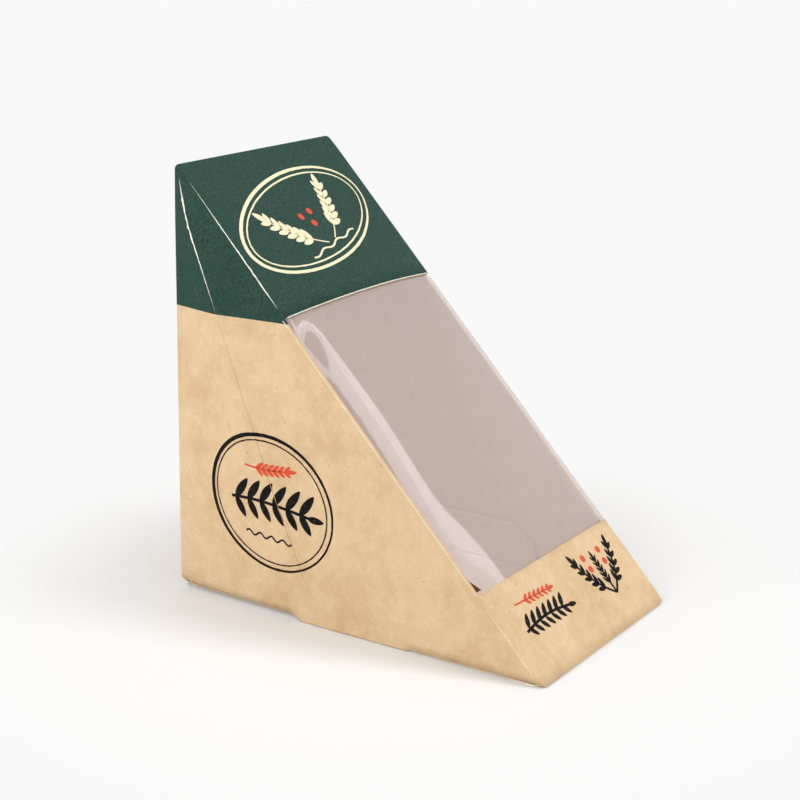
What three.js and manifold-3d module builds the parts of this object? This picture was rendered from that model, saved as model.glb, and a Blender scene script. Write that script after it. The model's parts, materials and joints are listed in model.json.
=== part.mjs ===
// Wedge-shaped sandwich box of brown kraft board, with a clear film window in its sloping front.
//
// The board is one folded sheet: back panel, sloping front panel, two side gussets that collapse on a
// crease from the apex, and a dust flap hemmed up inside the foot of each side. The base panel goes on
// from the foot of the sloping front, turns on that fold and tucks in behind with a tongue.
//
// Frame: millimetres, +Z up, X across the width, the slope faces -Y, origin at the middle of the foot.
import * as THREE from "three";
import { mergeVertices } from "three/addons/utils/BufferGeometryUtils.js";
import Module from "manifold-3d";

const wasm = await Module();
wasm.setup();

// Outside of the folded box, corner to corner as if the folds were sharp.
const WIDTH = 72;
const HEIGHT = 125.5;
const DEPTH = 122;

// Materials, and the running gap kept between pieces that don't touch.
const BOARD = 0.45;
const FILM = 0.2;
const CLEARANCE = 0.3;

// Outside radius of the folds along the sides and of the fold at the apex.
const SIDE_FOLD_RADIUS = 1.0;
const APEX_FOLD_RADIUS = 0.9;

// The gusset crease halves the angle at the apex and never lies quite flat again. It stands out by
// CREASE_BULGE, which comes up over CREASE_RISE from the apex and sinks over CREASE_FALL to the foot.
const CREASE_BULGE = 3;
const CREASE_FOOT_BULGE = 1;
const CREASE_RISE = 20;
const CREASE_FALL = 45;

// The front panel bows out across its width, most at the upper edge of the window.
const WINDOW_TOP_BOW = 3;
const LOWER_BAND_BOW = 0.4;

// Front panel above and below the window, measured along the slope.
const UPPER_PANEL = 54.5;
const LOWER_BAND = 30;

// Lip of board left standing at each side of the window, measured from the face of the side.
const WINDOW_LIP = 0.7;

// Green print covers everything above a level line just under the window's upper edge.
const PRINT_DROP = 1.4;

// The raw lower edges of the sides hang just clear of the surface the box stands on.
const EDGE_RISE = 0.8;

// Dust flaps, folded in and up at the foot of each side. Front and rear ends are from the back panel.
const DUST_FLAP_REAR = 44;
const DUST_FLAP_FRONT = 79.5;
const DUST_FLAP_HEIGHT = 14;
const DUST_FLAP_CORNER = 10;
const DUST_FLAP_LEAN = 0.6;
const HEM_GAP = 0.3;
// Share of the board's thickness that is left where a fold has pressed it.
const PRESSED = 0.86;

// Glue flaps: the rear edges of the sides, stuck to the inside of the back panel.
const GLUE_FLAP_WIDTH = 12;
const GLUE_FLAP_FOOT = 4;
const GLUE_FLAP_HEAD = 14;
const GLUE_FLAP_TAPER = 5;

// Base panel: how much it narrows towards the back, and its tuck-in tongue.
const BASE_TAPER = 1.2;
const TONGUE_HEIGHT = 18;
const TONGUE_INSET = 4;
const TONGUE_CORNER = 9;
const TONGUE_LEAN = THREE.MathUtils.degToRad(6);
const TONGUE_FOLD_RADIUS = 1.0;

// Film: overlap behind the board above and below the window, depth of the strips that turn in along
// the sides, and how far it stands out in the middle of the window.
const FILM_OVERLAP = 8;
const FILM_SIDE_STRIP = 6;
const FILM_FOLD_RADIUS = 1.6;
const FILM_CROWN = 1.2;

// Facets: steps across the front, on each half of a gusset, round a fold, and up the box.
const FRONT_STEPS = 12;
const GUSSET_STEPS = 3;
const FOLD_STEPS = 3;
const HEIGHT_STEPS = 14;
const APEX_STEPS = 3;

// Worked out from the sizes above.
const BACK = DEPTH / 2;
const SLOPE = Math.hypot(HEIGHT, DEPTH);
const SLOPE_ANGLE = Math.atan2(HEIGHT, DEPTH);
const APEX_ANGLE = Math.PI / 2 - SLOPE_ANGLE;
const WINDOW_BOTTOM = SLOPE - LOWER_BAND;
const PRINT_LEVEL = HEIGHT - UPPER_PANEL * Math.sin(SLOPE_ANGLE) - PRINT_DROP;
const CREASE_LENGTH = HEIGHT / Math.cos(APEX_ANGLE / 2);
const HEM_RADIUS = BOARD + HEM_GAP / 2;

// The base turns about the middle of the board where front and base meet.
const HINGE = {
  y: -BACK + BOARD / 2 / Math.tan(SLOPE_ANGLE / 2),
  z: BOARD / 2,
};

const COLOURS = {
  kraft: new THREE.Color(0xdcb98e),
  green: new THREE.Color(0x38594c),
};

// Turns a closed three.js geometry into a solid that can be joined and cut. A shape that was made in
// mirror image comes out inside out, so its faces are turned round.
function solidOf(geometry) {
  const bare = geometry.clone();
  bare.deleteAttribute("normal");
  bare.deleteAttribute("uv");
  const merged = mergeVertices(bare, 1e-4);
  const vertProperties = merged.attributes.position.array;
  const triVerts = new Uint32Array(merged.index.array);
  const solid = new wasm.Manifold(new wasm.Mesh({ numProp: 3, vertProperties, triVerts }));
  if (solid.volume() >= 0) {
    return solid;
  }
  return new wasm.Manifold(
    new wasm.Mesh({ numProp: 3, vertProperties, triVerts: triVerts.reverse() }),
  );
}

function geometryOf(solid) {
  const mesh = solid.getMesh();
  const geometry = new THREE.BufferGeometry();
  geometry.setAttribute("position", new THREE.BufferAttribute(mesh.vertProperties, 3));
  geometry.setIndex(new THREE.BufferAttribute(mesh.triVerts, 1));
  return geometry;
}

// A sheet made by bending a flat plate: place(u, v, w) gives the point for u and v along the plate and w
// through its thickness, each from 0 to 1.
function bentSheet(columns, rows, place) {
  const plate = new THREE.BoxGeometry(1, 1, 1, columns, rows, 1);
  const position = plate.attributes.position;
  for (let i = 0; i < position.count; i++) {
    const u = position.getX(i) + 0.5;
    const v = position.getY(i) + 0.5;
    const w = position.getZ(i) + 0.5;
    const point = place(u, v, w);
    position.setXYZ(i, point.x, point.y, point.z);
  }
  return solidOf(plate);
}

// Straight prism: an outline in the X-Y plane, made deep along +Z and then moved by a matrix.
function prism(outline, deep, matrix) {
  const shape = new THREE.Shape(outline.map(([x, y]) => new THREE.Vector2(x, y)));
  const geometry = new THREE.ExtrudeGeometry(shape, { depth: deep, bevelEnabled: false });
  geometry.applyMatrix4(matrix);
  return solidOf(geometry);
}

const rectangle = (x0, x1, y0, y1) => [
  [x0, y0],
  [x1, y0],
  [x1, y1],
  [x0, y1],
];

// Slope coordinates: x across, s down the slope from the apex, n outwards from the front face.
function onSlope(x, s, n) {
  const y = BACK - s * Math.cos(SLOPE_ANGLE) - n * Math.sin(SLOPE_ANGLE);
  const z = HEIGHT - s * Math.sin(SLOPE_ANGLE) + n * Math.cos(SLOPE_ANGLE);
  return new THREE.Vector3(x, y, z);
}

const slopeMatrix = new THREE.Matrix4()
  .makeBasis(
    new THREE.Vector3(1, 0, 0),
    new THREE.Vector3(0, -Math.cos(SLOPE_ANGLE), -Math.sin(SLOPE_ANGLE)),
    new THREE.Vector3(0, -Math.sin(SLOPE_ANGLE), Math.cos(SLOPE_ANGLE)),
  )
  .setPosition(0, BACK, HEIGHT);

// How far the side stands out at a point of its face: a ridge along the crease, nothing at the folds.
function gussetBulge(y, z) {
  const fromApex = Math.hypot(BACK - y, HEIGHT - z);
  const angle = Math.atan2(BACK - y, HEIGHT - z);
  const ridge = Math.max(0, 1 - Math.abs(angle / (APEX_ANGLE / 2) - 1));
  const rise = THREE.MathUtils.smoothstep(fromApex, 0, CREASE_RISE);
  const fall = THREE.MathUtils.smoothstep(fromApex, CREASE_LENGTH - CREASE_FALL, CREASE_LENGTH);
  return ridge * rise * THREE.MathUtils.lerp(CREASE_BULGE, CREASE_FOOT_BULGE, fall);
}

// How far the front stands out at a point of its face, s down the slope.
function frontBow(x, s) {
  const across = 1 - (x / (WIDTH / 2)) ** 2;
  const up = WINDOW_TOP_BOW * THREE.MathUtils.smoothstep(s, 0, UPPER_PANEL);
  const down = THREE.MathUtils.smoothstep(s, UPPER_PANEL, WINDOW_BOTTOM);
  return Math.max(0, across) * THREE.MathUtils.lerp(up, LOWER_BAND_BOW, down);
}

// Front and back of the closed wedge at one height, with the apex rounded. The inset moves every face in.
function depthAt(z, inset) {
  const radius = APEX_FOLD_RADIUS - inset;
  const centreY = BACK - APEX_FOLD_RADIUS;
  const centreZ = apexCentreHeight();
  const up = z - centreZ;
  const round = Math.sqrt(Math.max(0, radius ** 2 - up ** 2));
  const back = up > 0 ? centreY + round : BACK - inset;
  const onTip = up > radius * Math.cos(SLOPE_ANGLE);
  const straight = -BACK + z / Math.tan(SLOPE_ANGLE) + inset / Math.sin(SLOPE_ANGLE);
  return { front: onTip ? centreY - round : straight, back };
}

function apexCentreHeight() {
  const toCorner = APEX_FOLD_RADIUS / Math.tan(APEX_ANGLE / 2);
  return HEIGHT - toCorner;
}

// One level outline of the wedge, anticlockwise seen from above, starting at the front left corner.
function levelOutline(z, inset) {
  const { front, back } = depthAt(z, inset);
  const half = WIDTH / 2 - inset;
  const radius = Math.min(SIDE_FOLD_RADIUS - inset, (back - front) * 0.35);
  const crease = BACK - (HEIGHT - z) * Math.tan(APEX_ANGLE / 2);
  const nearFront = front + radius;
  const nearBack = back - radius;
  const middle = THREE.MathUtils.clamp(crease, nearFront + 0.1 * radius, nearBack - 0.1 * radius);
  const right = [];
  const left = [];
  const addSide = (x, y) => {
    const out = x + gussetBulge(y, z);
    right.push([out, y]);
    left.unshift([-out, y]);
  };
  for (let i = 0; i <= FOLD_STEPS; i++) {
    const turn = (i / FOLD_STEPS) * (Math.PI / 2);
    addSide(half - radius + radius * Math.sin(turn), nearFront - radius * Math.cos(turn));
  }
  for (let i = 1; i <= GUSSET_STEPS; i++) {
    addSide(half, THREE.MathUtils.lerp(nearFront, middle, i / GUSSET_STEPS));
  }
  for (let i = 1; i <= GUSSET_STEPS; i++) {
    addSide(half, THREE.MathUtils.lerp(middle, nearBack, i / GUSSET_STEPS));
  }
  for (let i = 1; i <= FOLD_STEPS; i++) {
    const turn = (i / FOLD_STEPS) * (Math.PI / 2);
    addSide(half - radius + radius * Math.cos(turn), nearBack + radius * Math.sin(turn));
  }
  const across = [];
  for (let i = 1; i < FRONT_STEPS; i++) {
    const x = THREE.MathUtils.lerp(radius - half, half - radius, i / FRONT_STEPS);
    const s = (HEIGHT - z) / Math.sin(SLOPE_ANGLE);
    across.push([x, front - frontBow(x, s) / Math.sin(SLOPE_ANGLE)]);
  }
  return [...across, ...right, ...left];
}

// The wedge as one solid lump, from a floor height up to the apex.
function wedge(inset, floor) {
  const centre = apexCentreHeight();
  const radius = APEX_FOLD_RADIUS - inset;
  const shoulder = centre + radius * Math.cos(SLOPE_ANGLE);
  const levels = [];
  for (let i = 0; i <= HEIGHT_STEPS; i++) {
    levels.push(THREE.MathUtils.lerp(floor, shoulder, i / HEIGHT_STEPS));
  }
  const tip = Math.PI / 2 - 0.3;
  for (let i = 1; i <= APEX_STEPS; i++) {
    const turn = THREE.MathUtils.lerp(APEX_ANGLE, tip, i / APEX_STEPS);
    levels.push(centre + radius * Math.sin(turn));
  }
  const outlines = levels.map((z) => levelOutline(z, inset));
  const count = outlines[0].length;
  const lump = new THREE.CylinderGeometry(1, 1, 1, count, levels.length - 1);
  const position = lump.attributes.position;
  for (let i = 0; i < position.count; i++) {
    const x = position.getX(i);
    const z = position.getZ(i);
    const level = Math.round((position.getY(i) + 0.5) * (levels.length - 1));
    if (Math.hypot(x, z) < 0.5) {
      const { front, back } = depthAt(levels[level], inset);
      position.setXYZ(i, 0, (front + back) / 2, levels[level]);
      continue;
    }
    const turn = Math.atan2(x, z) / (2 * Math.PI) + 1;
    const [outX, outY] = outlines[level][Math.round(turn * count) % count];
    position.setXYZ(i, outX, outY, levels[level]);
  }
  return solidOf(lump);
}

// Foot of the right-hand side: the board turns round a hem at the surface and stands up inside as the
// dust flap. The front corner of the flap is round.
function dustFlap() {
  const lap = 0.6;
  const rows = [];
  rows.push({ z: EDGE_RISE + lap, leg: 0, thin: PRESSED });
  for (let i = 0; i <= 2 * FOLD_STEPS; i++) {
    const along = i / (2 * FOLD_STEPS);
    rows.push({ turn: along * Math.PI, thin: THREE.MathUtils.lerp(PRESSED, 1, along) });
  }
  const cornerFoot = DUST_FLAP_HEIGHT - DUST_FLAP_CORNER;
  rows.push({ z: cornerFoot, leg: 1, thin: 1 });
  for (let i = 1; i <= 2 * FOLD_STEPS; i++) {
    const turn = (i / (2 * FOLD_STEPS)) * (Math.PI / 2);
    rows.push({ z: cornerFoot + DUST_FLAP_CORNER * Math.sin(turn), leg: 1, thin: 1, turnIn: turn });
  }
  const place = (u, v, w) => {
    const row = rows[Math.round(v * (rows.length - 1))];
    const cut = row.turnIn ? DUST_FLAP_CORNER * (1 - Math.cos(row.turnIn)) : 0;
    const y = BACK - THREE.MathUtils.lerp(DUST_FLAP_REAR, DUST_FLAP_FRONT - cut, u);
    const face = WIDTH / 2 + gussetBulge(y, EDGE_RISE);
    const through = (w - 0.5) * BOARD * row.thin;
    if (row.turn !== undefined) {
      const reach = (BOARD + HEM_GAP) / 2 + through;
      const x = face - HEM_RADIUS + reach * Math.cos(row.turn);
      return new THREE.Vector3(x, y, HEM_RADIUS - reach * Math.sin(row.turn));
    }
    if (row.leg === 0) {
      const bulged = WIDTH / 2 + gussetBulge(y, row.z);
      return new THREE.Vector3(bulged - BOARD / 2 + through, y, row.z);
    }
    const lean = DUST_FLAP_LEAN * (row.z / DUST_FLAP_HEIGHT);
    return new THREE.Vector3(face - BOARD * 1.5 - HEM_GAP - lean - through, y, row.z);
  };
  return bentSheet(8, rows.length - 1, place);
}

// Right-hand glue flap, flat against the inside of the back panel.
function glueFlap() {
  const outer = WIDTH / 2 - BOARD / 2;
  const inner = WIDTH / 2 - GLUE_FLAP_WIDTH;
  const head = HEIGHT - GLUE_FLAP_HEAD;
  const outline = [
    [outer, GLUE_FLAP_FOOT],
    [outer, head],
    [inner, head - GLUE_FLAP_TAPER],
    [inner, GLUE_FLAP_FOOT + GLUE_FLAP_TAPER],
  ];
  const stand = new THREE.Matrix4()
    .makeRotationX(Math.PI / 2)
    .premultiply(new THREE.Matrix4().makeTranslation(0, BACK - BOARD / 2, 0));
  return prism(outline, BOARD * 1.5, stand);
}

function mirrored(make) {
  const right = make();
  const copy = geometryOf(right);
  copy.scale(-1, 1, 1);
  return [right, solidOf(copy)];
}

// The folded board: a hollow wedge, open below, with the window cut out of its front.
function cartonBody() {
  const below = -1;
  let board = wedge(0, 0).subtract(wedge(BOARD, below));
  const beyond = WIDTH;
  const inside = WIDTH / 2 - WINDOW_LIP;
  const deep = 4 * WINDOW_TOP_BOW;
  const lift = new THREE.Matrix4().makeTranslation(0, 0, -deep / 2);
  const window = prism(
    rectangle(-inside, inside, UPPER_PANEL, WINDOW_BOTTOM),
    deep,
    slopeMatrix.clone().multiply(lift),
  );
  const footFront = prism(
    rectangle(-beyond, beyond, -DEPTH, BACK - SIDE_FOLD_RADIUS),
    EDGE_RISE - below,
    new THREE.Matrix4().makeTranslation(0, 0, below),
  );
  board = board.subtract(window).subtract(footFront);
  for (const flap of [...mirrored(dustFlap), ...mirrored(glueFlap)]) {
    board = board.add(flap);
  }
  return geometryOf(board);
}

// Base panel and tongue as one bent sheet, in the frame of its hinge. Each station gives a length along
// the bend, the half width there and the share of the board's thickness.
function baseFlap() {
  const reach = BACK - 2 * BOARD - CLEARANCE - HINGE.y;
  const foldMiddle = TONGUE_FOLD_RADIUS - BOARD / 2;
  const foldTurn = Math.PI / 2 + TONGUE_LEAN;
  const flat = reach - TONGUE_FOLD_RADIUS;
  const foldLength = foldMiddle * foldTurn;
  const total = flat + foldLength + TONGUE_HEIGHT - TONGUE_FOLD_RADIUS;
  const atFlap = BACK - DUST_FLAP_FRONT - CLEARANCE - HINGE.y;
  const between = WIDTH / 2 - 2 * HEM_RADIUS - CLEARANCE;
  const rear = between - BASE_TAPER;
  const tongue = rear - TONGUE_INSET;

  const stations = [];
  for (const turn of [0.3, 0.7, 1.1, Math.PI / 2]) {
    stations.push([-Math.cos(turn) * (BOARD / 2), WIDTH / 2, Math.sin(turn)]);
  }
  stations.push([atFlap - 0.01, WIDTH / 2, 1]);
  stations.push([atFlap, between, 1]);
  stations.push([flat, rear, 1]);
  const shoulder = 2;
  for (let i = 1; i <= 2 * FOLD_STEPS; i++) {
    stations.push([flat + (i / (2 * FOLD_STEPS)) * foldLength, rear, 1]);
  }
  stations.push([flat + foldLength + shoulder, tongue, 1]);
  const cornerFoot = total - TONGUE_CORNER;
  for (let i = 0; i <= 2 * FOLD_STEPS; i++) {
    const turn = (i / (2 * FOLD_STEPS)) * (Math.PI / 2);
    const narrowed = tongue - TONGUE_CORNER * (1 - Math.cos(turn));
    stations.push([cornerFoot + TONGUE_CORNER * Math.sin(turn), narrowed, 1]);
  }

  return bentSheet(2, stations.length - 1, (u, v, w) => {
    const [along, half, thick] = stations[Math.round(v * (stations.length - 1))];
    const x = (2 * u - 1) * half;
    const through = (w - 0.5) * BOARD * thick;
    const turned = THREE.MathUtils.clamp((along - flat) / foldMiddle, 0, foldTurn);
    const radius = foldMiddle - through;
    const past = Math.max(0, along - flat - foldLength);
    const start = Math.min(along, flat);
    const y = start + radius * Math.sin(turned) + past * Math.cos(turned);
    const z = foldMiddle - radius * Math.cos(turned) + past * Math.sin(turned);
    return new THREE.Vector3(x, y, z);
  });
}

// The film: across the box it turns in along both sides and bows out between them, like the board.
function windowFilm() {
  const half = WIDTH / 2 - BOARD - CLEARANCE - FILM / 2;
  const radius = FILM_FOLD_RADIUS;
  const top = UPPER_PANEL - FILM_OVERLAP;
  const bottom = WINDOW_BOTTOM + FILM_OVERLAP;
  const depth = BOARD + CLEARANCE + FILM / 2;

  const section = [];
  for (const side of [-1, 1]) {
    const turned = [{ x: side * half, n: -FILM_SIDE_STRIP, nx: side, nn: 0 }];
    for (let i = 0; i <= FOLD_STEPS; i++) {
      const turn = (i / FOLD_STEPS) * (Math.PI / 2);
      const x = side * (half - radius + radius * Math.cos(turn));
      const n = radius * (Math.sin(turn) - 1);
      turned.push({ x, n, nx: side * Math.cos(turn), nn: Math.sin(turn) });
    }
    if (side < 0) {
      section.push(...turned);
      for (let i = 1; i < FRONT_STEPS; i++) {
        const x = THREE.MathUtils.lerp(radius - half, half - radius, i / FRONT_STEPS);
        section.push({ x, n: 0, nx: 0, nn: 1 });
      }
    } else {
      section.push(...turned.reverse());
    }
  }

  const rows = 14;
  return bentSheet(section.length - 1, rows, (u, v, w) => {
    const at = section[Math.round(u * (section.length - 1))];
    const s = THREE.MathUtils.lerp(top, bottom, v);
    const opened = THREE.MathUtils.clamp((s - UPPER_PANEL) / (WINDOW_BOTTOM - UPPER_PANEL), 0, 1);
    const crown = FILM_CROWN * Math.sin(Math.PI * opened) ** 2 * (1 - (at.x / half) ** 2);
    const through = (w - 0.5) * FILM;
    const out = at.nn * (frontBow(at.x, s) + crown);
    return onSlope(at.x + at.nx * through, s, at.n - depth + out + at.nn * through);
  });
}

// Colours each face: green print on the outside above the print level, bare kraft elsewhere.
function printed(geometry) {
  const faces = geometry.toNonIndexed();
  faces.computeVertexNormals();
  const position = faces.attributes.position;
  const normal = faces.attributes.normal;
  const colours = new Float32Array(position.count * 3);
  for (let i = 0; i < position.count; i += 3) {
    const middle = new THREE.Vector3();
    for (let k = i; k < i + 3; k++) {
      middle.add(new THREE.Vector3().fromBufferAttribute(position, k).divideScalar(3));
    }
    const outwards = middle.clone().sub(new THREE.Vector3(0, BACK / 2, HEIGHT / 3));
    const outside = outwards.dot(new THREE.Vector3().fromBufferAttribute(normal, i)) > 0;
    const colour = outside && middle.z > PRINT_LEVEL ? COLOURS.green : COLOURS.kraft;
    for (let k = i; k < i + 3; k++) {
      colour.toArray(colours, 3 * k);
    }
  }
  faces.setAttribute("color", new THREE.BufferAttribute(colours, 3));
  return faces;
}

function piece(name, geometry, finish) {
  const mesh = new THREE.Mesh(geometry, new THREE.MeshStandardMaterial(finish));
  mesh.name = name;
  return mesh;
}

const carton = piece("carton_body", printed(cartonBody()), {
  vertexColors: true,
  roughness: 0.85,
  metalness: 0,
});

const film = piece("window_film", geometryOf(windowFilm()).toNonIndexed(), {
  color: 0xf4efec,
  roughness: 0.08,
  metalness: 0,
  transparent: true,
  opacity: 0.3,
});
film.geometry.computeVertexNormals();

const base = piece("base_flap", geometryOf(baseFlap()).toNonIndexed(), {
  color: COLOURS.kraft,
  roughness: 0.85,
  metalness: 0,
});
base.geometry.computeVertexNormals();

const baseHinge = new THREE.Group();
baseHinge.position.set(0, HINGE.y, HINGE.z);
baseHinge.add(base);

const sandwichBox = new THREE.Group();
sandwichBox.add(carton, film, baseHinge);

export default sandwichBox;
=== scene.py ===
# %% [markdown]
# # A sandwich box of kraft board
#
# The real object is one sheet of brown kraft board, die-cut, printed green at the top and folded into a
# wedge, with a clear film glued behind the window in its sloping front. This lesson builds its looks around
# a imported model that already holds the true sizes and the hinge of the base panel. First we load that
# model.

import json
import math

import bmesh
import bpy
from bmesh.types import BMEdge, BMVert
from mathutils import Matrix, Vector, noise
from mathutils.bvhtree import BVHTree


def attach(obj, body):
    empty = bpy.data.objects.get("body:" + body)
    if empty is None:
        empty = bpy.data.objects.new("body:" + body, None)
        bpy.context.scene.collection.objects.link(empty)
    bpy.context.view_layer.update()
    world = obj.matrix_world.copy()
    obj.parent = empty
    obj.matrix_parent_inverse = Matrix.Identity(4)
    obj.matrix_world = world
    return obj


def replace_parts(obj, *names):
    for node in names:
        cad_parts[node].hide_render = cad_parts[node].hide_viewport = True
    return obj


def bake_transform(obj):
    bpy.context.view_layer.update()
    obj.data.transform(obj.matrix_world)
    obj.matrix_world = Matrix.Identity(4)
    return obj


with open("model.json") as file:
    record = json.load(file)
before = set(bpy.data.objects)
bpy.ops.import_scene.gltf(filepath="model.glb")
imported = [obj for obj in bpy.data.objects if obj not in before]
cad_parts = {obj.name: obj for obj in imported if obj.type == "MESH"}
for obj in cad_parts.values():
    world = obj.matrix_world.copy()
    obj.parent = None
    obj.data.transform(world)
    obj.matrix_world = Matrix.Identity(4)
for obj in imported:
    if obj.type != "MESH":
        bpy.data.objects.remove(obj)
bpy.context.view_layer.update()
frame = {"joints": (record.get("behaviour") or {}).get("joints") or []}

# %% [markdown]
# ## Sizes
#
# A folding carton is drawn on paper in millimetres, so we keep its own drawing sizes as named values and
# let one constant turn them into Blender's metres. The depth and the position of the folds follow from
# these few, as they do on the carton maker's drawing.

# %% Drawing sizes
MM = 0.001
WIDTH = 72 * MM
HEIGHT = 125.5 * MM
DEPTH = 122 * MM
BOARD = 0.45 * MM
FILM = 0.2 * MM
GLUE_LINE = 0.3 * MM

BACK = DEPTH / 2
SLOPE = math.hypot(HEIGHT, DEPTH)
SLOPE_ANGLE = math.atan2(HEIGHT, DEPTH)
APEX_ANGLE = math.pi / 2 - SLOPE_ANGLE
DOWN_SLOPE = Vector((0, -math.cos(SLOPE_ANGLE), -math.sin(SLOPE_ANGLE)))
OUT_OF_SLOPE = Vector((0, -math.sin(SLOPE_ANGLE), math.cos(SLOPE_ANGLE)))
APEX = Vector((0, BACK, HEIGHT))

UPPER_PANEL = 54.5 * MM
LOWER_BAND = 30 * MM
WINDOW_BOTTOM = SLOPE - LOWER_BAND
PRINT_DROP = 1.4 * MM
PRINT_LEVEL = HEIGHT - UPPER_PANEL * math.sin(SLOPE_ANGLE) - PRINT_DROP
EDGE_RISE = 0.8 * MM
HINGE = Vector(frame["joints"][0]["pos_m"])
print(f"slope {SLOPE / MM:.1f} mm at {math.degrees(SLOPE_ANGLE):.1f} degrees")
print(f"hinge at y {HINGE.y / MM:.2f} mm")

# %% [markdown]
# ## Camera
#
# The camera comes first, because every later choice is judged through it. Its place was found by fitting
# a pinhole camera to the box's corners, so it is written as the point it looks at, a distance, two angles,
# a small roll and a focal length on a 36 mm sensor.

# %% Camera
def add_object(name, data):
    made = bpy.data.objects.new(name, data)
    bpy.context.scene.collection.objects.link(made)
    return made


CAMERA_AZIMUTH = math.radians(-57.04)
CAMERA_ELEVATION = math.radians(16.46)
CAMERA_ROLL = math.radians(1.06)
CAMERA_TARGET = Vector((0, 8.99, 57.6)) * MM
CAMERA_DISTANCE = 523.3 * MM
CAMERA_LENS = 82.42
CAMERA_NEAR = 10 * MM

towards_camera = Vector((
    math.sin(CAMERA_AZIMUTH) * math.cos(CAMERA_ELEVATION),
    -math.cos(CAMERA_AZIMUTH) * math.cos(CAMERA_ELEVATION),
    math.sin(CAMERA_ELEVATION),
))
camera_data = bpy.data.cameras.new("camera")
camera_data.lens = CAMERA_LENS
camera_data.clip_start = CAMERA_NEAR
camera = add_object("camera", camera_data)
camera.location = CAMERA_TARGET + towards_camera * CAMERA_DISTANCE
turned = towards_camera.to_track_quat("Z", "Y").to_matrix().to_4x4()
camera.rotation_euler = (turned @ Matrix.Rotation(CAMERA_ROLL, 4, "Z")).to_euler()
bpy.context.scene.camera = camera
print("camera at", [round(c / MM, 1) for c in camera.location], "mm")

# %% [markdown]
# ## Helpers for shapes
#
# Board is a skin with a thickness. We cut and bend the printed outer face as a bmesh, and a Solidify
# modifier then grows the thickness inwards. Small helpers do the repeated work. One slices a mesh with a
# plane, so that we can give a fold or a print edge its own loop. One turns a sheet over where it faces the
# wrong way, one makes the bmesh an object, and one gives it its thickness.

# %% Cutting and finishing
def cut(bm, point, normal, faces=None):
    """Slices the mesh, or only the given faces of it, along a plane."""
    chosen = list(bm.faces) if faces is None else [f for f in bm.faces if faces(f)]
    edges = {e for f in chosen for e in f.edges}
    verts = {v for f in chosen for v in f.verts}
    geometry = chosen + list(edges) + list(verts)
    bmesh.ops.bisect_plane(bm, geom=geometry, dist=1e-7, plane_co=point, plane_no=normal)


def face_towards(bm, way):
    """Turns the sheet over if its faces, taken together, look away from this direction."""
    bm.normal_update()
    if sum(f.normal.dot(Vector(way)) * f.calc_area() for f in bm.faces) < 0:
        bmesh.ops.reverse_faces(bm, faces=bm.faces)


def as_object(bm, name, materials):
    mesh = bpy.data.meshes.new(name)
    bm.to_mesh(mesh)
    bm.free()
    for material in materials:
        mesh.materials.append(material)
    return add_object(name, mesh)


def finished(bm, name, materials, body, smooth=True):
    """Makes the bmesh a piece that rides on a body of the frame."""
    for face in bm.faces:
        face.smooth = smooth
    piece = as_object(bm, name, materials)
    if body:
        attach(piece, body)
    print(f"{name}: {len(piece.data.polygons)} faces, rides on {body or 'two bodies'}")
    return piece


def thicken(piece, depth, inner=0, rim=0):
    """Grows a thickness behind the faces; inner and rim shift the material slots of the new ones."""
    solidify = piece.modifiers.new("thickness", "SOLIDIFY")
    solidify.thickness = depth
    solidify.offset = -1
    solidify.use_even_offset = True
    solidify.material_offset = inner
    solidify.material_offset_rim = rim


print("a board skin of", BOARD / MM, "mm will grow inwards")

# %% [markdown]
# Spin and extrude give back all that they made, so one helper picks out the edges or the points. Bevels
# share their settings, and two lines of arithmetic ease one value into another.

# %% Turning, rounding and easing
def only(kind, geometry):
    return [part for part in geometry if isinstance(part, kind)]


def spin(bm, edges, centre, axis, angle, steps):
    """Turns edges round an axis, leaves faces behind them and gives back the edges at the end."""
    made = bmesh.ops.spin(bm, geom=edges, cent=centre, axis=axis, angle=angle, steps=steps,
                          dvec=(0, 0, 0), use_merge=False)
    return only(BMEdge, made["geom_last"])


def bevel(bm, geometry, offset, segments, affect="EDGES", **rest):
    bmesh.ops.bevel(bm, geom=geometry, offset=offset, offset_type="OFFSET", segments=segments,
                    profile=0.5, affect=affect, material=-1, **rest)


def smoothstep(x, low, high):
    t = min(1, max(0, (x - low) / (high - low)))
    return t * t * (3 - 2 * t)


def mix(a, b, t):
    return a + (b - a) * t


print("a quarter of the way, eased:", round(smoothstep(0.25, 0, 1), 3))

# %% [markdown]
# ## Helpers for materials
#
# Colours are given as sRGB hex values, but a shader works in linear light, so one function turns
# them. Another adds a node with its settings and its links in one call.

# %% Colours and nodes
def linear(hex_colour):
    channels = [int(hex_colour[i:i + 2], 16) / 255 for i in (1, 3, 5)]
    return [c / 12.92 if c <= 0.04045 else ((c + 0.055) / 1.055) ** 2.4 for c in channels] + [1]


def add_node(tree, kind, settings=None, links=None):
    node = tree.nodes.new(kind)
    for key, value in (settings or {}).items():
        if isinstance(key, str) and hasattr(node, key):
            setattr(node, key, value)
        else:
            node.inputs[key].default_value = value
    for key, source in (links or {}).items():
        tree.links.new(source, node.inputs[key])
    return node


def set_inputs(node, values):
    for name, value in values.items():
        node.inputs[name].default_value = value


def new_material(name):
    material = bpy.data.materials.new(name)
    material.use_nodes = True
    tree = material.node_tree
    return material, tree, tree.nodes["Principled BSDF"]


print("mid grey in linear light:", round(linear("#808080")[0], 3))

# %% [markdown]
# Patterns are scaled by the real size of what they show: a noise texture with scale 1 has features about a
# metre across in Object coordinates, so a feature of so many millimetres needs the inverse. A stretch of
# the noise then becomes the share in which one colour lies over another.

# %% Patterns
def noise_at(tree, size, **settings):
    """A noise in Object coordinates whose features are so many millimetres across."""
    place = add_node(tree, "ShaderNodeTexCoord").outputs["Object"]
    return add_node(tree, "ShaderNodeTexNoise", {"Scale": 1 / (size * MM), **settings}, {"Vector": place})


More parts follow.
